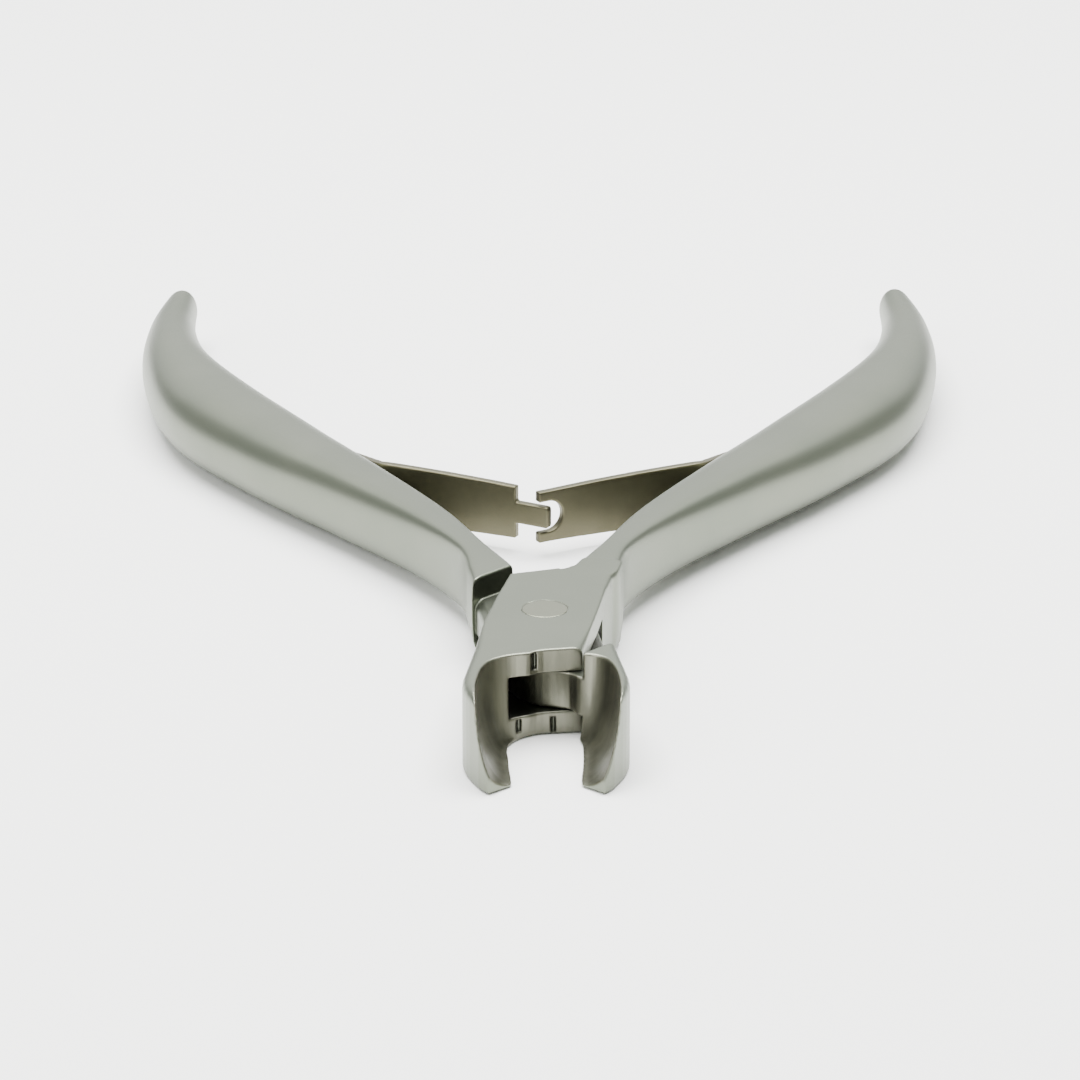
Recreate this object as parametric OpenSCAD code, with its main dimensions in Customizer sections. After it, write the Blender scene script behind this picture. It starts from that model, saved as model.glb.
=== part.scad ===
// Sprue nippers: small box-joint end nippers with two interlocking leaf springs.
// Units are millimetres. Z is up and is the axis of the pivot, the handles
// run towards +Y and the jaws towards -Y. The tool lies flat on z = 0 and the
// pivot axis passes through x = 0, y = 0. It is drawn open, at rest.

/* [Joint] */
// Height of the box joint and of the jaws
body_h = 9.2; // [8:0.1:11]
// Half width of the box joint across the flanks
box_half_w = 5.6; // [5:0.1:6.5]
// Thickness of the upper and of the lower plate
plate_t = 2.5; // [2:0.1:3]
// Angle between the two halves when open, about the pivot
open_angle = 16.4; // [4:0.2:18]
// Radius of the pivot pin
pin_r = 2.2; // [1.8:0.1:2.6]
// Running clearance round the pin and on each face of the tongue
clearance = 0.05; // [0.03:0.01:0.1]

/* [Jaws] */
// Distance from the pivot axis to the tips of the jaws
jaw_len = 25.4; // [22:0.2:30]
// Thickness of the flat land along the cutting edge
edge_land = 0.4; // [0.2:0.1:1]

/* [Handles] */
// Width of a handle at its thickest part
handle_w = 11.7; // [8:0.1:12]
// Height of a handle at its thickest part
handle_h = 9.1; // [7:0.1:9.2]

/* [Springs] */
// Thickness of the leaf springs
leaf_t = 0.9; // [0.6:0.1:1.2]
// Height of a leaf at its free end
leaf_h = 5.8; // [4:0.1:7]
// Length of the free part of a leaf, from its bend to the crossing
leaf_len = 18; // [17:0.2:20]
// Height of the tab of the left leaf
tab_h = 2.4; // [1.8:0.1:3]
// Height of the notch in the right leaf
notch_h = 3.5; // [3:0.1:4]
// Radius of the head of a spring screw
screw_head_r = 1.9; // [1.5:0.1:2.4]

/* [Hidden] */
mid_z = body_h / 2;
half_open = open_angle / 2;
tongue_h = body_h - 2 * plate_t - 2 * clearance;
bore_r = pin_r + clearance;
// Spring seat on the left handle, halves closed: screw centre and tilt from +Y.
seat_x = -13.35;
seat_y = 52.4;
seat_tilt = 25;
seat_back = 4.6;
root_len = 5.5;
// Bend of a free leaf away from its root.
leaf_turn = 32.8;
heel_r = 0.75;
heel_gap = 0.05;
screw_r = 0.9;
screw_len = 4;
head_h = 1.0;
// The slot in the screw head.
drive_w = 0.5;
drive_d = 0.45;
root_h = 6.8;
// Height of the root at its far end, behind the screw.
root_end_h = 4.6;
// Ends of the two leaves before and past the place where they cross.
shoulder_back = 2.4;
tab_past = 1.6;
finger_len = 1.3;
// Straight part of the notch, before its round end.
notch_len = 1.2;
$fn = 64;

steel = [0.75, 0.77, 0.72];
spring_steel = [0.40, 0.37, 0.28];

// Centreline of the left handle with the halves closed, one station per row:
// x, y, half width, top, bottom, fullness of the section (2 is an ellipse).
handle_stations = [
    [-3.75, 11.6, 2.45, 9.2, 0.4, 7.0],
    [-4.8, 19.5, 1.70, 9.15, 1.5, 4.6],
    [-8.0, 30.5, 2.65, 8.9, 1.25, 3.0],
    [-13.7, 43.8, 4.00, 8.9, 0.7, 2.7],
    [-20.5, 58.4, 5.40, 8.9, 0.3, 2.6],
    [-26.7, 73.6, handle_w / 2, mid_z + handle_h / 2, mid_z - handle_h / 2, 2.5],
    [-30.0, 89.6, 4.20, 8.9, 0.35, 2.4],
    [-29.7, 104.2, 2.85, 7.9, 1.3, 2.2],
    [-27.5, 114.4, 1.90, 7.2, 2.1, 2.0]];
station_count = len(handle_stations);
steps = 4;
ring_n = 28;

// Smooth curve through rows of numbers.
function row(i) = handle_stations[max(0, min(station_count - 1, i))];
function blend4(a, b, c, d, t) =
    0.5 * (2 * b + (c - a) * t + (2 * a - 5 * b + 4 * c - d) * t * t
    + (3 * b - a - 3 * c + d) * t * t * t);
function at(s) =
    let (i = min(station_count - 2, floor(s)))
    blend4(row(i - 1), row(i), row(i + 1), row(i + 2), s - i);
function power(v, n) = sign(v) * pow(abs(v), 2 / n);
// One section of a handle, square to the centreline, scaled by k.
function section(p, dir, k) =
    [for (j = [0 : ring_n - 1])
        let (a = 360 * j / ring_n)
        [p[0] + dir[1] * p[2] * k * power(cos(a), p[5]),
        p[1] - dir[0] * p[2] * k * power(cos(a), p[5]),
        (p[3] + p[4]) / 2 + (p[3] - p[4]) / 2 * k * power(sin(a), p[5])]];
function unit(v) = v / norm(v);
function heading(s) =
    let (d = at(s + 0.05) - at(s - 0.05))
    unit([d[0], d[1]]);
last_s = station_count - 1;
handle_rings = concat(
    [for (k = [0 : steps * last_s])
        section(at(k / steps), heading(max(0.05, min(last_s - 0.05, k / steps))), 1)],
    [for (a = [22.5, 45, 67.5, 84])
        let (p = row(last_s), d = heading(last_s - 0.05))
        section([p[0] + d[0] * 2 * sin(a), p[1] + d[1] * 2 * sin(a), p[2], p[3], p[4], p[5]],
            d, cos(a))]);

// Solid skin through a list of rings with the same number of points.
module skin(rings) {
    n = len(rings[0]);
    m = len(rings);
    points = [for (r = rings, p = r) p];
    sides = [for (i = [0 : m - 2], j = [0 : n - 1])
        [i * n + j, i * n + (j + 1) % n, (i + 1) * n + (j + 1) % n, (i + 1) * n + j]];
    first = [[for (j = [0 : n - 1]) n - 1 - j]];
    last = [[for (j = [0 : n - 1]) (m - 1) * n + j]];
    polyhedron(points = points, faces = concat(sides, first, last), convexity = 4);
}

// The left handle with the halves closed, with its flat seat for the spring.
module handle() {
    difference() {
        skin(handle_rings);
        spring_frame()
            translate([0, -root_len - 1.6, -mid_z - 1])
                cube([4, root_len + 1.6 + seat_back, body_h + 2]);
        spring_frame()
            rotate([0, -90, 0])
                cylinder(h = screw_len, r = screw_r, center = false);
    }
}

// Frame of the spring seat: x points out of the seat, y runs up the handle.
module spring_frame() {
    translate([seat_x, seat_y, mid_z])
        rotate([0, 0, seat_tilt])
            children();
}

// Quarter-ellipse bowl ground out between the jaws, as rings along -Y.
// Each row: y, x of the cutting edge, width of the bowl at the top.
bowl_rows = [
    [-10.6, -1.2, 0.05], [-12.4, -1.4, 1.0], [-14.3, -1.65, 2.3],
    [-17.5, -1.2, 3.1], [-20.4, -0.55, 3.6], [-21.8, -0.04, 4.1],
    [-24.0, -0.04, 4.6], [-28.0, -0.04, 5.5]];
function bowl_ring(r) = concat(
    [for (j = [0 : 10])
        let (a = 9 * j)
        [r[1] - r[2] * sin(a), r[0], body_h - (body_h - edge_land) * cos(a)]],
    [[r[1] - r[2], r[0], body_h + 1], [6, r[0], body_h + 1], [6, r[0], edge_land]]);

// The left jaw with the halves closed.
module jaw() {
    difference() {
        linear_extrude(height = body_h)
            polygon([[-box_half_w, -8.5], [-box_half_w, -18.0], [-5.15, -20.2],
                [-4.2, -22.4], [-3.1, -24.2], [-1.9, -jaw_len],
                [-0.04, -jaw_len + 2.1], [-0.04, -21.8], [-0.55, -20.4],
                [-1.2, -17.5], [-1.65, -14.3], [-1.4, -12.4], [-1.9, -8.5]]);
        skin([for (r = bowl_rows) bowl_ring(r)]);
    }
}

// Outline of the female half across the joint: plates, jaw root, handle root.
module plate_outline() {
    polygon([[-box_half_w, -12], [-box_half_w, 8.2], [-4.8, 9.15], [1.2, 12.1],
        [1.6, 14.5], [6.1, 14.5], [6.0, 10], [5.6, 6], [5.4, -9.3], [4.6, -9.8],
        [1.0, -10.8], [-0.5, -11.6], [-1.4, -12.4], [-1.9, -13]]);
}

// The passage the tongue turns in, between its two slanted walls.
module slot_outline() {
    polygon([[-7.8, 2.6], [-5.6, -3.0], [-1.8, -12.6], [-0.9, -14.9], [14, -14.9],
        [14, -2.6], [7.8, -2.6], [5.6, 3.0], [1.8, 12.6], [0.9, 14.9],
        [-14, 14.9], [-14, 2.6]]);
}

// The tongue of the male half, parallel to the slot walls when closed, with a
// rounded front corner.
module tongue_outline() {
    polygon([[-box_half_w, 11], [-box_half_w, -2.6], [-4.5, -5.4], [-3.8, -6.9],
        [-2.9, -8.1], [-1.7, -9.1], [-0.3, -9.8], [1.0, -10.1], [1.6, -10.6],
        [2.2, -12.4], [4, -12.5], [box_half_w, -10.5], [box_half_w, 2.6], [1.64, 12.6],
        [-1.4, 15.5], [-4, 14]]);
}

module female_closed() {
    difference() {
        union() {
            linear_extrude(height = body_h)
                plate_outline();
            jaw();
            mirror([1, 0, 0])
                handle();
        }
        translate([0, 0, plate_t])
            linear_extrude(height = body_h - 2 * plate_t)
                slot_outline();
        translate([0, 0, -1])
            cylinder(h = body_h + 2, r = pin_r);
    }
}

module male_closed() {
    difference() {
        union() {
            translate([0, 0, plate_t + clearance])
                linear_extrude(height = tongue_h)
                    tongue_outline();
            // Full-height root of the handle behind the rear shoulder.
            linear_extrude(height = body_h)
                polygon([[-6.0, 9.2], [-5.75, 9.2], [-1.1, 12.7], [-1.6, 14.5], [-6.1, 14.5]]);
            handle();
            // The right jaw, cut back to its shoulder in front of the plates.
            difference() {
                mirror([1, 0, 0])
                    jaw();
                linear_extrude(height = 3 * body_h, center = true)
                    polygon([[8, -8], [5.7, -9.6], [1.3, -12.1], [0, -12.4], [0, -7], [8, -7]]);
            }
        }
        translate([0, 0, -1])
            cylinder(h = body_h + 2, r = bore_r);
    }
}

module male_half() {
    color(steel)
        rotate([0, 0, half_open])
            male_closed();
}

module female_half() {
    color(steel)
        rotate([0, 0, -half_open])
            female_closed();
}

module pivot_pin() {
    color(steel)
        cylinder(h = body_h, r = pin_r);
}

// Part of a spring that lies on the handle, ending at the heel of the leaf.
module spring_root() {
    difference() {
        rotate([90, 0, 90])
            linear_extrude(height = leaf_t)
                polygon([[-root_len, -root_h / 2], [seat_back - 0.6, -root_end_h / 2],
                    [seat_back - 0.6, root_end_h / 2], [-root_len, root_h / 2]]);
        translate([heel_r, -root_len, 0])
            cylinder(h = body_h, r = heel_r + heel_gap, center = true);
        rotate([0, 90, 0])
            cylinder(h = 4, r = screw_r + clearance, center = true);
    }
}

// Frame of a free leaf: x along the leaf from the heel, z up.
module leaf_frame() {
    translate([heel_r, -root_len, 0])
        rotate([0, 0, leaf_turn - 90])
            children();
}

// Side view of a leaf, tapering from the heel to the shoulders at its free end.
module leaf_plate(len_to_end) {
    rotate([90, 0, 0])
        linear_extrude(height = leaf_t, center = true)
            polygon([[0, -root_h / 2], [len_to_end, -leaf_h / 2],
                [len_to_end, leaf_h / 2], [0, root_h / 2]]);
}

module heel() {
    cylinder(h = root_h, r = heel_r, center = true);
}

module left_leaf_shape() {
    leaf_frame() {
        heel();
        leaf_plate(leaf_len - shoulder_back);
        translate([leaf_len - shoulder_back - 1, -leaf_t / 2, -tab_h / 2])
            cube([shoulder_back + 1 + tab_past, leaf_t, tab_h]);
    }
}

module right_leaf_shape() {
    leaf_frame() {
        heel();
        difference() {
            leaf_plate(leaf_len + finger_len);
            translate([leaf_len + finger_len - notch_len, -leaf_t, -notch_h / 2])
                cube([notch_len + 1, 2 * leaf_t, notch_h]);
            translate([leaf_len + finger_len - notch_len, 0, 0])
                rotate([90, 0, 0])
                    cylinder(h = 2 * leaf_t, r = notch_h / 2, center = true);
        }
    }
}

// Places a spring piece drawn in the seat frame on the left handle, open.
module on_left() {
    rotate([0, 0, half_open])
        spring_frame()
            children();
}

module left_spring_root() {
    color(spring_steel)
        on_left()
            spring_root();
}

module left_spring_leaf() {
    color(spring_steel)
        on_left()
            left_leaf_shape();
}

module right_spring_root() {
    color(spring_steel)
        mirror([1, 0, 0])
            on_left()
                spring_root();
}

module right_spring_leaf() {
    color(spring_steel)
        mirror([1, 0, 0])
            on_left()
                right_leaf_shape();
}

// Slotted screw whose head bears on the root of the spring.
module screw() {
    difference() {
        union() {
            translate([leaf_t, 0, 0])
                rotate([0, 90, 0])
                    cylinder(h = head_h, r = screw_head_r);
            translate([-screw_len + 0.3, 0, 0])
                rotate([0, 90, 0])
                    cylinder(h = screw_len + leaf_t, r = screw_r);
        }
        translate([leaf_t + head_h - drive_d, -screw_head_r - 1, -drive_w / 2])
            cube([drive_d + 1, 2 * screw_head_r + 2, drive_w]);
    }
}

module left_spring_screw() {
    color(steel)
        on_left()
            screw();
}

module right_spring_screw() {
    color(steel)
        mirror([1, 0, 0])
            on_left()
                screw();
}

male_half();
female_half();
pivot_pin();
left_spring_root();
left_spring_leaf();
right_spring_root();
right_spring_leaf();
left_spring_screw();
right_spring_screw();
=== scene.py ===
"""Sprue nippers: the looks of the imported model, in metres, in the CAD frame.

The two forged halves are drawn in millimetres with the handles closed, as
signed distances whose zero surface becomes the mesh, and are then opened
about the pivot. The springs are flat strips drawn the same way and bent.
Lengths are in millimetres, but in metres in the materials, lights and camera.
"""
import math
import bpy
import numpy as np
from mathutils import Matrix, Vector


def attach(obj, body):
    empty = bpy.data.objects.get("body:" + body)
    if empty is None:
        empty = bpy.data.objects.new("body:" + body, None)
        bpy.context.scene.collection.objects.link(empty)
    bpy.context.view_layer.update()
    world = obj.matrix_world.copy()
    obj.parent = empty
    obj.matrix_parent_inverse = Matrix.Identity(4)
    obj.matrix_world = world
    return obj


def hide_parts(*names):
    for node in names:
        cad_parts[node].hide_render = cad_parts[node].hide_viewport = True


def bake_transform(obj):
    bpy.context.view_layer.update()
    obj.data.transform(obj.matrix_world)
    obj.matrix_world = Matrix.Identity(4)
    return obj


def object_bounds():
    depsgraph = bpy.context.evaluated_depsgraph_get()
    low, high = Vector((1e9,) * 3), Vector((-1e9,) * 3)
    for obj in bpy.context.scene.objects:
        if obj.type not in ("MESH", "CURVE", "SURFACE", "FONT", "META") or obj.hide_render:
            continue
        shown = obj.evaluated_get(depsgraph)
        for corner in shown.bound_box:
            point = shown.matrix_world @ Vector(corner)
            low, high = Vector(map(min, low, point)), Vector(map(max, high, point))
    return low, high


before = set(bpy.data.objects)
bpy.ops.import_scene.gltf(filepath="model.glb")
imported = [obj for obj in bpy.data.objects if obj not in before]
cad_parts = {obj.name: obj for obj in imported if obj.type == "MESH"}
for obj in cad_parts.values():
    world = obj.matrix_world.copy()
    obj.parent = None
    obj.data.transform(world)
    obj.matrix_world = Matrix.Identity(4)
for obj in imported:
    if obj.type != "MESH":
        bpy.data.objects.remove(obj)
cad_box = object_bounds()

# ---------------------------------------------------------------- dimensions
MM = 0.001                                       # metres
H = (cad_box[1][2] - cad_box[0][2]) / MM         # height of the joint
MID = H / 2
HALF_OPEN = 8.2                                  # degrees each half is turned open
HALF_W = 5.6                                     # half width of the box joint
PLATE_T = 2.5                                    # each plate of the box joint
GAP = 0.05                                       # running clearance
PIN_R = 2.2                                      # pivot pin
LAND = 0.35                                      # flat along the cutting edge
GRIP_START = 10.5                                # where the right handle leaves the plates
LEAF_T = 0.9                                     # thickness of a spring
ROOT_H = 6.8                                     # height of a spring at its bend
LEAF_H = 5.8                                     # its height where the springs cross
ROOT_END_H = 4.6                                 # its height behind the screw
FINE = 0.17                                      # mesh step at the joint and the jaws


# ------------------------------------------------------------ distance tools
def smooth_max(a, b, k):
    """The larger of two distances, with a fillet about k wide where they meet."""
    h = np.clip(0.5 + 0.5 * (a - b) / k, 0, 1)
    return b * (1 - h) + a * h + k * h * (1 - h)


def smooth_min(a, b, k):
    return -smooth_max(-a, -b, k)


def rounded(a, b, r):
    """Two faces that meet in a round edge of radius r."""
    p, q = np.maximum(a + r, 0), np.maximum(b + r, 0)
    return np.hypot(p, q) + np.minimum(np.maximum(a, b) + r, 0) - r


def polygon(x, y, points):
    """Signed distance in the plane to a closed outline, negative inside."""
    x, y = np.broadcast_arrays(x, y)
    best = np.full(x.shape, 1e9)
    inside = np.zeros(x.shape, bool)
    for (ax, ay), (bx, by) in zip(points, points[1:] + points[:1]):
        ex, ey = bx - ax, by - ay
        t = np.clip(((x - ax) * ex + (y - ay) * ey) / (ex * ex + ey * ey), 0, 1)
        best = np.minimum(best, np.hypot(x - ax - t * ex, y - ay - t * ey))
        if ey != 0:
            crosses = ((ay <= y) != (by <= y)) & (x < ax + (y - ay) * ex / ey)
            inside ^= crosses
    return np.where(inside, -best, best)


def beyond(x, y, a, b):
    """Signed distance to the line from a to b, positive on its left side."""
    ex, ey = b[0] - a[0], b[1] - a[1]
    return (ex * (y - a[1]) - ey * (x - a[0])) / math.hypot(ex, ey)


def curve(stations, count=400):
    """Smooth curve through rows of numbers, as dense rows (Catmull-Rom)."""
    p = np.array([stations[0]] + stations + [stations[-1]], float)
    p[0] = 2 * p[1] - p[2]
    p[-1] = 2 * p[-2] - p[-3]
    s = np.linspace(0, len(stations) - 1 - 1e-9, count)
    i = s.astype(int)
    t = (s - i)[:, None]
    a, b, c, d = p[i], p[i + 1], p[i + 2], p[i + 3]
    return 0.5 * (2 * b + (c - a) * t + (2 * a - 5 * b + 4 * c - d) * t ** 2
                  + (3 * b - a - 3 * c + d) * t ** 3)


# ------------------------------------------------------- shape of the halves
# Left handle with the tool closed: y, x of the centreline, half width, top,
# bottom, fullness of the section on its inner side, on its outer side below
# the middle and on its outer side above it.
HANDLE = curve([
    [7.0, -3.7, 2.45, 9.20, 0.30, 14.0, 3.0, 8.0],
    [9.0, -3.7, 2.45, 9.20, 0.30, 14.0, 3.0, 8.0],
    [12.5, -3.75, 2.35, 9.20, 0.70, 12.0, 3.0, 7.0],
    [19.5, -4.8, 1.65, 9.15, 1.50, 6.0, 2.8, 5.0],
    [30.5, -8.0, 2.65, 8.90, 1.25, 4.0, 2.6, 3.6],
    [43.8, -13.7, 4.00, 8.90, 0.70, 3.0, 2.5, 3.0],
    [58.4, -20.5, 5.40, 8.90, 0.30, 2.6, 2.4, 2.6],
    [73.6, -26.7, 5.85, 9.15, 0.05, 2.4, 2.3, 2.4],
    [89.6, -30.0, 4.20, 8.90, 0.35, 2.2, 2.2, 2.2],
    [104.2, -29.7, 2.85, 7.90, 1.30, 2.1, 2.1, 2.1],
    [116.4, -27.3, 1.65, 7.30, 2.30, 2.0, 2.0, 2.0],
    [121.0, -26.2, 1.30, 6.70, 2.60, 2.0, 2.0, 2.0]])
TIP_Y = 116.2
TIP_R = 2.6
BLUNT = 0.02                                     # cut off the very end of a handle


def handle(x, y, z):
    """The left handle, closed: each section is a lopsided superellipse."""
    along = HANDLE[:, 0]
    cx, a, top, bottom, inner, outer, ridge = [
        np.interp(y, along, HANDLE[:, column]) for column in range(1, 8)]
    slope = np.interp(y, along, np.gradient(HANDLE[:, 1], along))
    middle = (top + bottom) / 2
    end = np.clip((y - (TIP_Y - TIP_R)) / TIP_R, 0, 0.999)
    shrink = np.sqrt(1 - end ** 2)
    a, b = a * shrink, (top - bottom) / 2 * shrink
    u = (x - cx) / np.sqrt(1 + slope ** 2) / a
    w = np.abs(z - middle) / b
    n = np.where(u > 0, inner, np.where(z > middle, ridge, outer))
    f = (np.abs(u) ** n + w ** n + 1e-12) ** (1 / n)
    return np.maximum((f - 1) * np.minimum(a, b), y - (TIP_Y - BLUNT))


def flank_width(y):
    """Half width across the flanks: it flares a little towards the handles."""
    return HALF_W + 0.3 * np.clip((y - 2) / 11, 0, 1) ** 2


def eased(points, first, last, count=34):
    """The outline with its stretch from first to last drawn as a smooth curve."""
    middle = curve(points[first:last + 1], count).tolist()
    return points[:first] + [tuple(p) for p in middle] + points[last + 1:]


# The nose of the jaw turns in from the flank to the tip (left jaw, closed).
NOSE = [(-HALF_W, -17.6), (-5.45, -19.0), (-5.15, -20.2), (-4.7, -21.4), (-4.2, -22.4),
        (-3.65, -23.3), (-3.1, -24.2), (-2.5, -24.9), (-1.95, -25.35), (-0.05, -23.2)]

# The mouth ground out between the jaws: its outline at the cutting edges and
# at the top face, for the female half and for the male half.
FEMALE_LOW = [(9, -8.9), (5.1, -9.3), (3.0, -9.8), (0.95, -10.4), (-0.1, -11.1),
              (-0.85, -11.9), (-1.4, -12.9), (-1.7, -14.0), (-1.6, -15.6), (-1.3, -16.9),
              (-0.8, -19.6), (-0.4, -21.4), (-0.08, -23.1), (-0.05, -30), (9, -30)]
FEMALE_TOP = [(9, -9.2), (5.0, -9.5), (3.0, -10.1), (1.0, -10.8), (0.1, -11.6),
              (-1.2, -12.1), (-2.3, -12.75), (-3.2, -13.6), (-3.75, -14.6), (-4.05, -16.0),
              (-4.1, -17.5), (-4.05, -19.4), (-3.85, -21.2), (-3.5, -23.4), (-3.1, -30),
              (9, -30)]
MALE_LOW = [(-9, -5.2), (-4.5, -5.4), (-3.8, -6.9), (-2.9, -8.1), (-1.7, -9.0),
            (-0.3, -9.6), (1.0, -9.8), (1.6, -10.4), (1.5, -11.5), (1.6, -12.8),
            (1.65, -14.0), (1.3, -16.6), (0.85, -19.2), (0.4, -21.3), (0.08, -23.1),
            (0.05, -30), (-9, -30)]
MALE_TOP = [(-9, -5.4), (-4.4, -5.7), (-3.7, -7.3), (-2.8, -8.5), (-1.6, -9.4),
            (-0.2, -10.1), (0.9, -10.9), (1.5, -11.8), (2.2, -12.2), (3.0, -12.5),
            (3.7, -13.1), (4.2, -14.0), (4.45, -15.2), (4.55, -16.7), (4.45, -19.0),
            (4.1, -21.6), (3.6, -24.0), (3.2, -30), (-9, -30)]

FEMALE_LOW = eased(FEMALE_LOW, 1, 12)
FEMALE_TOP = eased(FEMALE_TOP, 1, 13)
MALE_LOW = eased(MALE_LOW, 1, 14)
MALE_TOP = eased(MALE_TOP, 1, 17)

# Closed, in plan: the lines beyond which the male half has its full height,
# and the outlines of the parts of both halves.
REAR_SHOULDER = ((-5.6, 9.4), (-1.0, 12.8))
FRONT_SHOULDER = ((5.4, -9.35), (1.4, -12.4))
FEMALE_OUTLINE = (NOSE + [(0.6, -13.2), (5.1, -12.0), (5.06, -9.4), (5.3, 0.0),
                          (5.35, 6.0), (5.6, 10.0), (6.0, 14.0), (2.2, 14.0), (1.75, 12.3),
                          (-4.85, 9.15), (-5.3, 3.0), (-HALF_W, -4.0)])
MALE_JAW_OUTLINE = ([(-x, y) for x, y in NOSE]
                    + [(-0.2, -13.0), (-0.2, -8.0), (HALF_W, -8.0)])
SLOT_OUTLINE = [(-7.8, 2.6), (-5.6, -3.0), (-1.8, -12.6), (-0.9, -14.9), (14, -14.9),
                (14, -2.6), (7.8, -2.6), (5.6, 3.0), (1.8, 12.6), (0.9, 14.9),
                (-14, 14.9), (-14, 2.6)]
TONGUE_OUTLINE = [(-9, 12.5), (-9, -2.6), (-5.6, -2.6), (-1.64, -12.5), (1.3, -12.6),
                  (9, -12.0), (9, 2.6), (5.6, 2.6), (1.64, 12.5), (-1.4, 15.5), (-4, 15)]


def mouth(x, y, z, low, top):
    """Distance to the mouth's wall: it widens upwards on a quarter ellipse."""
    t = np.clip((H - z) / (H - LAND), 0, 1)
    s = np.sqrt(1 - t ** 2)
    return polygon(x, y, low) * (1 - s) + polygon(x, y, top) * s


def female_mouth(x, y, z):
    return mouth(x, y, z, FEMALE_LOW, FEMALE_TOP)


def male_mouth(x, y, z):
    return mouth(x, y, z, MALE_LOW, MALE_TOP)


def groove(x, y, z, cx, cy, wide, deep, low, high):
    """A short upright groove in the front face of a plate, as a round bar."""
    across = np.hypot((x - cx) / (wide / 2), (y - cy) / deep) - 1
    return np.maximum(across * wide / 2, np.abs(z - (low + high) / 2) - (high - low) / 2)


# Each row: x, y, width, depth, lower end, upper end. The first groove is in the
# upper plate, the others are in the lower one.
GROOVES = ((0.47, -11.45, 0.5, 0.8, 7.2, 9.0),
           (-0.95, -12.0, 0.5, 0.45, 0.9, 2.2),
           (2.2, -10.1, 0.5, 0.45, 0.2, 1.9))


def edge_radius(y, z):
    """Edges are crisp, but the upper ones get rounder along the jaws."""
    share = np.clip((-3.0 - y) / 8.0, 0, 1) * (z > MID)
    return 0.28 + 0.75 * share * share * (3 - 2 * share)


def female_half(x, y, z):
    """Right handle, left jaw and the two plates of the box, closed."""
    faces = np.abs(z - MID) - MID
    soft = np.where(x > 0, 0.6 * np.clip((y - 1) / 8, 0, 1), 0)
    radius = np.maximum(edge_radius(y, z), soft)
    block = rounded(polygon(x, y, FEMALE_OUTLINE), faces, radius)
    grip = smooth_max(handle(-x, y, z), GRIP_START - y, 1.5)
    solid = np.maximum(smooth_min(block, grip, 0.9), faces)
    solid = smooth_max(solid, -female_mouth(x, y, z), 0.2)
    solid = smooth_max(solid, -slot(x, y, z), 0.2)
    for one in GROOVES:
        solid = smooth_max(solid, -groove(x, y, z, *one), 0.06)
    return np.maximum(solid, PIN_R - np.hypot(x, y))


def slot(x, y, z):
    """The passage through the female half that the tongue turns in."""
    return rounded(polygon(x, y, SLOT_OUTLINE), np.abs(z - MID) - (MID - PLATE_T), 0.12)


def male_half(x, y, z):
    """Left handle, right jaw and the tongue between them, closed."""
    faces = np.abs(z - MID) - MID
    side = smooth_max(polygon(x, y, TONGUE_OUTLINE), np.abs(x) - flank_width(y), 0.2)
    # The tongue's edges are rounder where it shows beside the plates.
    bevel = 0.25 + 0.85 * np.clip((np.abs(x) - 3.6) / 1.6, 0, 1)
    tongue = rounded(side, np.abs(z - MID) - (MID - PLATE_T - GAP), bevel)
    rear = np.maximum(handle(x, y, z), faces)
    rear = smooth_max(rear, -beyond(x, y, *REAR_SHOULDER), 0.1)
    front = rounded(polygon(x, y, MALE_JAW_OUTLINE), faces, edge_radius(y, z))
    front = smooth_max(front, -beyond(x, y, *FRONT_SHOULDER), 0.15)
    solid = np.minimum(smooth_min(tongue, rear, 0.15), front)
    solid = smooth_max(solid, -male_mouth(x, y, z), 0.25)
    return np.maximum(solid, PIN_R + GAP - np.hypot(x, y))


def female_painted_shade(x, y, z):
    """Share of painted shade, a near-black colour put where shade falls: inside the slot
    and in the grooves.
    """
    share = 0.5 * np.clip(1.5 - np.abs(slot(x, y, z)) / 0.12, 0, 1)
    for one in GROOVES:
        near = np.abs(groove(x, y, z, *one))
        share = np.maximum(share, 0.5 * np.clip(1.3 - near / 0.1, 0, 1))
    return share


def male_painted_shade(x, y, z):
    """Share of painted shade, a near-black colour put where shade falls: the rear step and
    the right-hand ledge.
    """
    step = np.abs(beyond(x, y, *REAR_SHOULDER))
    above_tongue = (z > MID + 2.15) * (z < H - 0.15)
    rear = np.clip(1.4 - step / 0.1, 0, 1) * above_tongue
    level = np.clip(1.5 - np.abs(z - (H - PLATE_T - GAP)) / 0.25, 0, 1)
    ledge = level * np.clip((x - 1.5) / 0.8, 0, 1) * (y < 3) * (y > -9.1)
    return np.maximum(0.6 * rear, 0.9 * ledge)


# --------------------------------------------------------- distances to mesh
def spaced(*spans):
    """Grid lines: each span is (start, stop, step), joined end to end."""
    lines = [np.linspace(a, b, max(2, round(abs(b - a) / s) + 1)) for a, b, s in spans]
    return np.unique(np.round(np.concatenate(lines), 5))


def gradient(f, p, eps=0.02):
    """Slope of f at each point, by central differences."""
    g = np.empty_like(p)
    for k in range(3):
        step = np.zeros(3)
        step[k] = eps
        hi, lo = p + step, p - step
        g[:, k] = (f(*hi.T) - f(*lo.T)) / (2 * eps)
    return g


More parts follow.
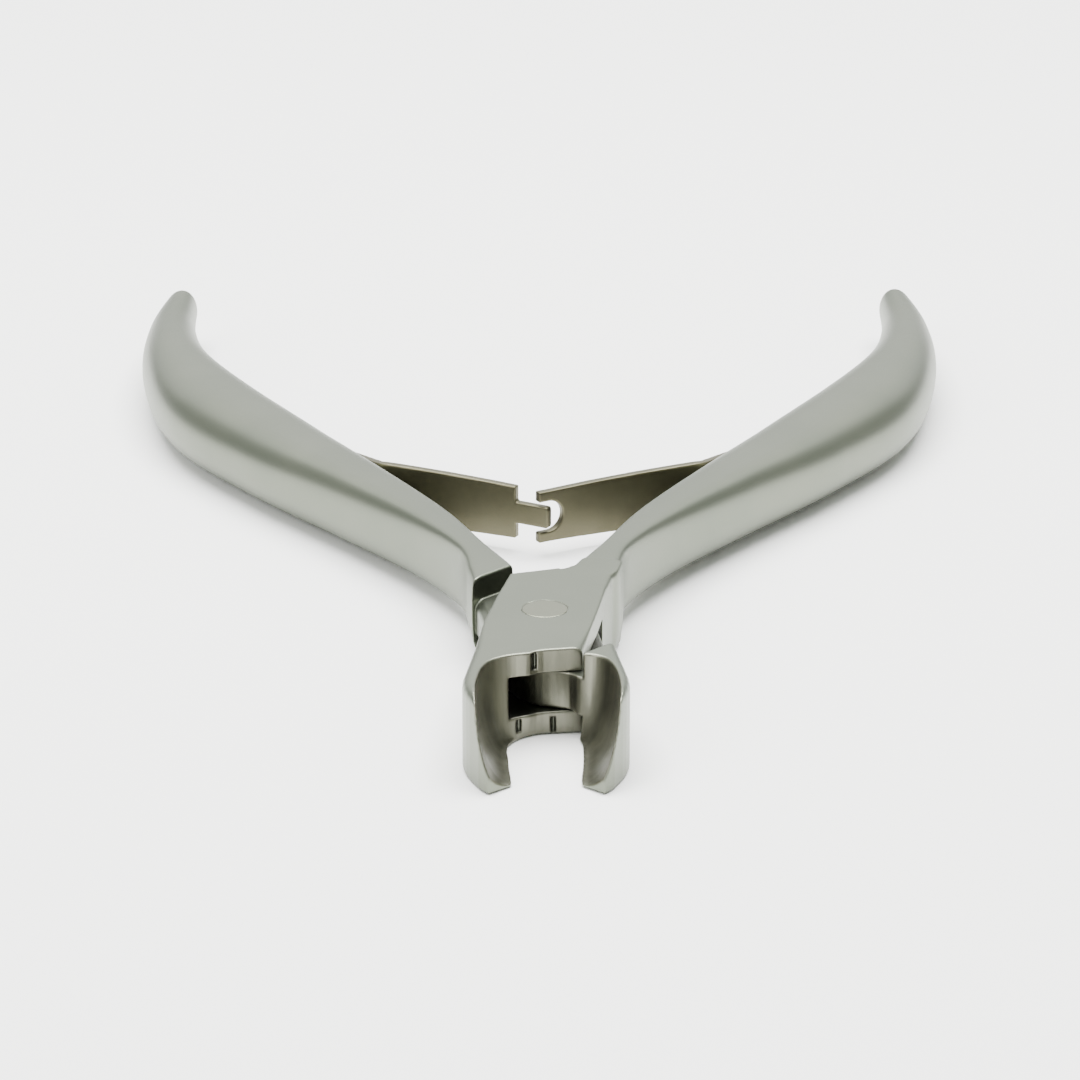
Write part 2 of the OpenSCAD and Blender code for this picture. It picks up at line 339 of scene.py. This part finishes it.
def surface(f, xs, ys, zs):
    """Vertices and quads of the zero surface of f on a grid (surface nets)."""
    d = f(xs[:, None, None], ys[None, :, None], zs[None, None, :])
    d = np.broadcast_to(d, (len(xs), len(ys), len(zs)))
    inside = d < 0
    corner = [(i, j, k) for i in (0, 1) for j in (0, 1) for k in (0, 1)]
    shape = tuple(n - 1 for n in d.shape)

    def part(a, c):
        return a[c[0]:c[0] + shape[0], c[1]:c[1] + shape[1], c[2]:c[2] + shape[2]]

    count = sum(part(inside, c).astype(np.int8) for c in corner)
    cell = np.argwhere((count > 0) & (count < 8))
    number = np.full(shape, -1, np.int64)
    number[tuple(cell.T)] = np.arange(len(cell))
    axes = (xs, ys, zs)
    total = np.zeros((len(cell), 3))
    crossings = np.zeros(len(cell))
    for a in corner:
        for axis in range(3):
            if a[axis]:
                continue
            b = list(a)
            b[axis] = 1
            ia, ib = cell + a, cell + b
            da, db = d[tuple(ia.T)], d[tuple(ib.T)]
            hit = (da < 0) != (db < 0)
            t = np.where(hit, da / np.where(hit, da - db, 1), 0)
            pa = np.stack([axes[k][ia[:, k]] for k in range(3)], 1)
            pb = np.stack([axes[k][ib[:, k]] for k in range(3)], 1)
            total += np.where(hit[:, None], pa + t[:, None] * (pb - pa), 0)
            crossings += hit
    points = total / crossings[:, None]
    quads = []
    for axis in range(3):
        u, v = (axis + 1) % 3, (axis + 2) % 3
        low = [slice(1, -1)] * 3
        high = [slice(1, -1)] * 3
        low[axis], high[axis] = slice(0, -1), slice(1, None)
        a, b = inside[tuple(low)], inside[tuple(high)]
        edge = np.argwhere(a != b)
        flip = a[tuple(edge.T)]
        base = edge.copy()
        for k in (u, v):
            base[:, k] += 1
        steps = [(0, 0), (-1, 0), (-1, -1), (0, -1)]
        ring = []
        for su, sv in steps:
            c = base.copy()
            c[:, u] += su
            c[:, v] += sv
            ring.append(number[tuple(c.T)])
        quad = np.stack(ring, 1)
        quad[~flip] = quad[~flip][:, ::-1]
        quads.append(quad)
    # Newton steps pull the points onto the surface, none longer than a cell.
    longest = 0.6 * max(np.diff(zs).max(), np.diff(xs).min())
    for _ in range(4):
        g = gradient(f, points)
        value = f(*points.T)
        move = value[:, None] * g / np.maximum((g ** 2).sum(1), 1e-6)[:, None]
        length = np.linalg.norm(move, axis=1)
        points -= move * np.minimum(1, longest / np.maximum(length, 1e-9))[:, None]
    return points, np.concatenate(quads)


def build(name, points, faces, material, shade=()):
    """Mesh object from points in millimetres. shade: (name, value per point)."""
    mesh = bpy.data.meshes.new(name)
    mesh.from_pydata((points * MM).tolist(), [], faces)
    mesh.update()
    for label, values in shade:
        attribute = mesh.attributes.new(label, "FLOAT", "POINT")
        attribute.data.foreach_set("value", np.asarray(values, np.float32))
    mesh.polygons.foreach_set("use_smooth", [True] * len(mesh.polygons))
    mesh.materials.append(material)
    obj = bpy.data.objects.new(name, mesh)
    bpy.context.scene.collection.objects.link(obj)
    return obj


def turned(points, degrees):
    """Points turned about the pivot, anticlockwise from above."""
    c, s = math.cos(math.radians(degrees)), math.sin(math.radians(degrees))
    out = points.copy()
    out[:, 0] = c * points[:, 0] - s * points[:, 1]
    out[:, 1] = s * points[:, 0] + c * points[:, 1]
    return out


# ------------------------------------------------------------------ materials
def nodes_of(name):
    material = bpy.data.materials.new(name)
    material.use_nodes = True
    tree = material.node_tree
    shader = tree.nodes["Principled BSDF"]
    return material, tree, shader


def noise(tree, vector, scale, detail):
    node = tree.nodes.new("ShaderNodeTexNoise")
    node.inputs["Scale"].default_value = scale
    node.inputs["Detail"].default_value = detail
    tree.links.new(vector, node.inputs["Vector"])
    return node.outputs["Fac"]


def ranged(tree, value, ends):
    """Value brought from one range to another. ends: the socket values set."""
    node = tree.nodes.new("ShaderNodeMapRange")
    for label, number in ends.items():
        node.inputs[label].default_value = number
    tree.links.new(value, node.inputs["Value"])
    return node.outputs["Result"]


def mixed(tree, factor, a, b):
    """Colour from a to b by factor; each is a colour or a node's output."""
    node = tree.nodes.new("ShaderNodeMix")
    node.data_type = "RGBA"
    tree.links.new(factor, node.inputs["Factor"])
    for label, colour in (("A", a), ("B", b)):
        if isinstance(colour, tuple):
            node.inputs[label].default_value = (*colour, 1)
        else:
            tree.links.new(colour, node.inputs[label])
    return node.outputs["Result"]


def painted(tree, label):
    """The mesh attribute of that name."""
    node = tree.nodes.new("ShaderNodeAttribute")
    node.attribute_name = label
    return node.outputs["Fac"]


# Near-black painted shade for the slot, grooves, rear step and ledge.
PAINTED_SHADE_COLOUR = (0.035, 0.033, 0.028)


def satin_steel(name, base, dark, rough, ground=None):
    """Fine satin metal: faint cloudy colour, hair-fine bump, soft roughness.

    ground is a pair of colours, for a mesh that has the attributes "ground",
    its hollow-ground faces, and the painted shade, near-black in its shaded corners.
    """
    material, tree, shader = nodes_of(name)
    shader.inputs["Metallic"].default_value = 1.0
    place = tree.nodes.new("ShaderNodeTexCoord").outputs["Object"]
    cloud = noise(tree, place, 90.0, 4.0)
    grain = noise(tree, place, 5200.0, 3.0)
    tint = ranged(tree, cloud, {"From Min": 0.35, "From Max": 0.75})
    colour = mixed(tree, tint, base, dark)
    if ground:
        # The wheel's streaks run up and down the hollow-ground faces.
        stretch = tree.nodes.new("ShaderNodeMapping")
        stretch.inputs["Scale"].default_value = (1.0, 1.0, 0.12)
        tree.links.new(place, stretch.inputs["Vector"])
        streak = noise(tree, stretch.outputs["Vector"], 900.0, 3.0)
        colour = mixed(tree, painted(tree, "ground"), colour, mixed(tree, streak, *ground))
        # Painted shade: near-black colour mixed in where the mesh lies in shade.
        colour = mixed(tree, painted(tree, "painted_shade"), colour, PAINTED_SHADE_COLOUR)
    roughness = ranged(tree, grain, {"To Min": rough - 0.05, "To Max": rough + 0.06})
    tree.links.new(colour, shader.inputs["Base Color"])
    tree.links.new(roughness, shader.inputs["Roughness"])
    bump = tree.nodes.new("ShaderNodeBump")
    bump.inputs["Strength"].default_value = 0.12
    bump.inputs["Distance"].default_value = 0.00002
    tree.links.new(grain, bump.inputs["Height"])
    tree.links.new(bump.outputs["Normal"], shader.inputs["Normal"])
    return material


forged = satin_steel("forged_steel", (0.175, 0.188, 0.150), (0.155, 0.170, 0.136), 0.38,
                     ground=((0.11, 0.11, 0.085), (0.27, 0.27, 0.215)))
pin_steel = satin_steel("pin_steel", (0.190, 0.196, 0.150), (0.178, 0.186, 0.142), 0.38)
leaf_steel = satin_steel("leaf_steel", (0.105, 0.098, 0.062), (0.145, 0.135, 0.09), 0.40)
screw_steel = satin_steel("screw_steel", (0.33, 0.33, 0.30), (0.28, 0.28, 0.26), 0.32)


# ------------------------------------------------------------------- halves
def grid():
    """Grid lines round the left handle: fine at the joint, wider behind it."""
    xs = spaced((-35.6, -9, 0.4), (-9, 9, FINE))
    ys = spaced((-26.2, 15, FINE), (15, 24, 0.3), (24, TIP_Y - 3.5, 0.55),
                (TIP_Y - 3.5, TIP_Y + 0.6, 0.3))
    zs = spaced((-0.4, H + 0.4, 0.19))
    return xs, ys, zs


def half(name, f, cutter, painted_shade, side, turn, body):
    """One forging. side: 1 if its handle is on the right, -1 on the left."""
    xs, ys, zs = grid()
    if side > 0:
        xs = -xs[::-1]
    points, quads = surface(f, xs, ys, zs)
    x, y, z = points.T
    near = np.abs(cutter(x, y, z))
    # The mouth is ground from its rear end forward, but not the top and bottom.
    reach = np.clip((-5.0 - y) / 0.8, 0, 1) * (z > LAND * 0.5) * (z < H - 0.02)
    ground = np.clip(1.4 - near / 0.14, 0, 1) * reach
    # The second attribute is painted shade: near-black where shade falls in the slot,
    # grooves, step and ledge.
    obj = build(name, turned(points, turn), quads.tolist(), forged,
                [("ground", ground), ("painted_shade", painted_shade(x, y, z))])
    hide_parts(body + "_half")
    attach(obj, body)


half("female_forging", female_half, female_mouth, female_painted_shade, 1, -HALF_OPEN, "female")
half("male_forging", male_half, male_mouth, male_painted_shade, -1, HALF_OPEN, "male")


# ---------------------------------------------------------------------- pin
def lathe(profile, count):
    """Points and faces of a closed round solid from (radius, height) rows."""
    angles = [2 * math.pi * i / count for i in range(count)]
    points = [(r * math.cos(a), r * math.sin(a), h) for r, h in profile for a in angles]
    faces = []
    for row in range(len(profile) - 1):
        low, high = row * count, (row + 1) * count
        for i in range(count):
            j = (i + 1) % count
            faces.append((low + i, low + j, high + j, high + i))
    faces.append(tuple(reversed(range(count))))
    faces.append(tuple((len(profile) - 1) * count + i for i in range(count)))
    return np.array(points), faces


PROUD = 0.005                                    # each end stands this far out of its plate
head = [(0.6, H + PROUD), (1.6, H + PROUD * 0.8), (2.1, H + PROUD * 0.4), (2.5, H - 0.015),
        (PIN_R, H - 0.08)]
profile = [(r, H - h) for r, h in head] + head[::-1]
pin = build("pivot_pin_visual", *lathe(profile, 96), pin_steel)
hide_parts("pivot_pin")
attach(pin, "female")

# ------------------------------------------------------------------- springs
SEAT = (-13.35, 52.4)                            # screw centre, left, closed
SEAT_TILT = 25.0                                 # degrees the seat leans with the handle
LEAF_TURN = 32.8                                 # degrees the spring turns at its bend
HEEL = (0.75, -5.5)                              # hinge of the leaf, in the seat frame
LEAF_LEN = 18.0                                  # heel to the crossing of the springs
ROOT_LEN = 9.6                                   # heel to the rear end of the root
TAPER_LEN = 9.5                                  # stretch over which the root narrows
BEND_R = 2.0                                     # radius of that bend, to mid-thickness
BOW = 0.35                                       # the free leaves are slightly bowed
TAB_H = 2.4                                      # tab at the end of the left spring
TAB_START = -2.4                                 # from the crossing, at its shoulders
TAB_END = 1.6
TAB_R = 0.35
NOTCH_H = 3.5                                    # round notch in the right spring
NOTCH_CENTRE = 0.1                               # of its round end, from the crossing
NOTCHED_END = 1.3                                # end of the right spring
EASE = 0.12                                      # rounding of the springs' edges
BEND_FROM = -1.0                                 # places along the leaf, from the heel; their points are worked out but not used
BEND_TO = 1.2


def strip_path(u):
    """Centreline x, y and heading of a strip in the seat frame, 0 at the heel."""
    tangent = BEND_R * math.tan(math.radians(LEAF_TURN / 2))
    lead = math.radians(-90 + LEAF_TURN)
    along = (math.cos(lead), math.sin(lead))
    corner_s = (LEAF_T / 2 - HEEL[0]) / along[0]
    corner = (LEAF_T / 2, HEEL[1] + corner_s * along[1])
    start_s = corner_s + tangent
    arc = BEND_R * math.radians(LEAF_TURN)
    after = u - start_s
    free = LEAF_LEN - start_s
    share = np.clip(after / free, 0, 1.1)
    bow = BOW * 4 * share * (1 - share)
    tilt = BOW * 4 * (1 - 2 * share) / free * (after > 0)
    leaf_x = HEEL[0] + u * along[0] - bow * along[1]
    leaf_y = HEEL[1] + u * along[1] + bow * along[0]
    leaf_a = lead + tilt
    turn = np.clip((after + arc) / arc, 0, 1)
    angle = -math.pi / 2 + turn * math.radians(LEAF_TURN)
    centre_x = corner[0] + BEND_R
    centre_y = corner[1] + tangent
    arc_x = centre_x - BEND_R * np.cos(angle + math.pi / 2)
    arc_y = centre_y - BEND_R * np.sin(angle + math.pi / 2)
    root_y = centre_y - (after + arc)
    on_leaf, on_root = after > 0, after < -arc
    px = np.where(on_leaf, leaf_x, np.where(on_root, LEAF_T / 2, arc_x))
    py = np.where(on_leaf, leaf_y, np.where(on_root, root_y, arc_y))
    pa = np.where(on_leaf, leaf_a, np.where(on_root, -math.pi / 2, angle))
    return px, py, pa


def strip_outline(u, v, side):
    """Side view of a strip: left ends in a tab, right in a round notch."""
    half_h = ROOT_H / 2 - (ROOT_H - LEAF_H) / 2 * np.clip(u / LEAF_LEN, 0, 1)
    half_h = half_h - (ROOT_H - ROOT_END_H) / 2 * np.clip(-u / TAPER_LEN, 0, 1)
    body = np.abs(v) - half_h
    root = -(u + ROOT_LEN)
    if side < 0:
        plate = np.maximum(np.maximum(body, root), u - (LEAF_LEN + TAB_START))
        tab = rounded(np.abs(v) - TAB_H / 2, u - (LEAF_LEN + TAB_END), TAB_R)
        tab = np.maximum(tab, -u)
        return smooth_min(plate, tab, 0.3)
    plate = rounded(body, np.maximum(root, u - (LEAF_LEN + NOTCHED_END)), EASE)
    notch = np.hypot(np.minimum(u - (LEAF_LEN + NOTCH_CENTRE), 0), v) - NOTCH_H / 2
    return smooth_max(plate, -notch, 0.1)


def placed(x, y, z):
    """Points of the seat frame, on the left handle with the tool open."""
    c, s = math.cos(math.radians(SEAT_TILT)), math.sin(math.radians(SEAT_TILT))
    closed = np.stack([SEAT[0] + c * x - s * y, SEAT[1] + s * x + c * y, z], 1)
    return turned(closed, HALF_OPEN)


def seat_line(u):
    """The point u along the left strip's centreline, as one row."""
    x, y, _ = strip_path(np.array([u]))
    return placed(x, y, np.array([MID]))


def strip(name, side, nodes):
    """One whole spring. side: -1 for the left, 1 for the right, its mirror."""
    def flat(u, v, w):
        return rounded(strip_outline(u, v, side), np.abs(w) - LEAF_T / 2, EASE)

    us = spaced((-10.2, 14.0, 0.3), (14.0, LEAF_LEN + 2.2, 0.12))
    vs = spaced((-3.8, 3.8, 0.16))
    ws = spaced((-0.65, 0.65, 0.13))
    points, quads = surface(flat, us, vs, ws)
    u, v, w = points.T
    px, py, heading = strip_path(u)
    bent = placed(px - w * np.sin(heading), py + w * np.cos(heading), v + MID)
    start, end = seat_line(BEND_FROM), seat_line(BEND_TO)
    flip = np.array([1.0, 1, 1]) if side < 0 else np.array([-1.0, 1, 1])
    # Along, up and across are left-handed, so the left strip's faces are reversed.
    # The right strip is mirrored as well, which undoes it.
    if side < 0:
        quads = quads[:, ::-1]
    obj = build(name, bent * flip, quads.tolist(), leaf_steel)
    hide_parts(*nodes)
    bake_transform(obj)


strip("left_spring", -1, ("left_spring_root", "left_spring_leaf"))
strip("right_spring", 1, ("right_spring_root", "right_spring_leaf"))

for label in ("left_spring_screw", "right_spring_screw"):
    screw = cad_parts[label]
    screw.data.materials.clear()
    screw.data.materials.append(screw_steel)

# --------------------------------------------------------------- stage, light
FLOOR = 3000.0                                   # half its side
FLOOR_Z = -0.05                                  # just below the tool

pale, _, shader = nodes_of("pale_floor")
shader.inputs["Base Color"].default_value = (0.93, 0.93, 0.92, 1)
shader.inputs["Roughness"].default_value = 0.9
corners = [(-FLOOR, -FLOOR, FLOOR_Z), (FLOOR, -FLOOR, FLOOR_Z),
           (FLOOR, FLOOR, FLOOR_Z), (-FLOOR, FLOOR, FLOOR_Z)]
floor = build("floor", np.array(corners), [(0, 1, 2, 3)], pale)


AIM = (0, 0.04, 0)                               # what the lights point at


def softbox(name, place, size, power):
    light = bpy.data.lights.new(name, "AREA")
    light.shape = "RECTANGLE"
    light.size, light.size_y = size
    light.energy = power
    obj = bpy.data.objects.new(name, light)
    obj.location = place
    obj.rotation_euler = (Vector(AIM) - Vector(place)).to_track_quat("-Z", "Y").to_euler()
    bpy.context.scene.collection.objects.link(obj)


softbox("overhead", (0, 0.12, 0.7), (0.8, 0.6), 25.0)
softbox("front_left", (-0.6, -0.5, 0.5), (0.5, 0.5), 4.5)
softbox("back", (0, 0.9, 0.4), (1.4, 0.5), 3.5)

world = bpy.data.worlds.new("studio")
bpy.context.scene.world = world
world.use_nodes = True
background = world.node_tree.nodes["Background"]
background.inputs["Color"].default_value = (0.96, 1.0, 0.94, 1)
background.inputs["Strength"].default_value = 0.8

# --------------------------------------------------------------------- camera
EYE = (-0.00306, -0.4172, 0.1778)
LOOK_DOWN = 21.13                                # degrees below level
LOOK_SIDE = -0.354                               # degrees, anticlockwise from above

camera_data = bpy.data.cameras.new("camera")
camera_data.lens = 150
camera_data.sensor_width = 36
camera_data.clip_start = 0.01
camera = bpy.data.objects.new("camera", camera_data)
camera.location = EYE
camera.rotation_euler = (math.radians(90 - LOOK_DOWN), 0, math.radians(LOOK_SIDE))
bpy.context.scene.collection.objects.link(camera)
bpy.context.scene.camera = camera
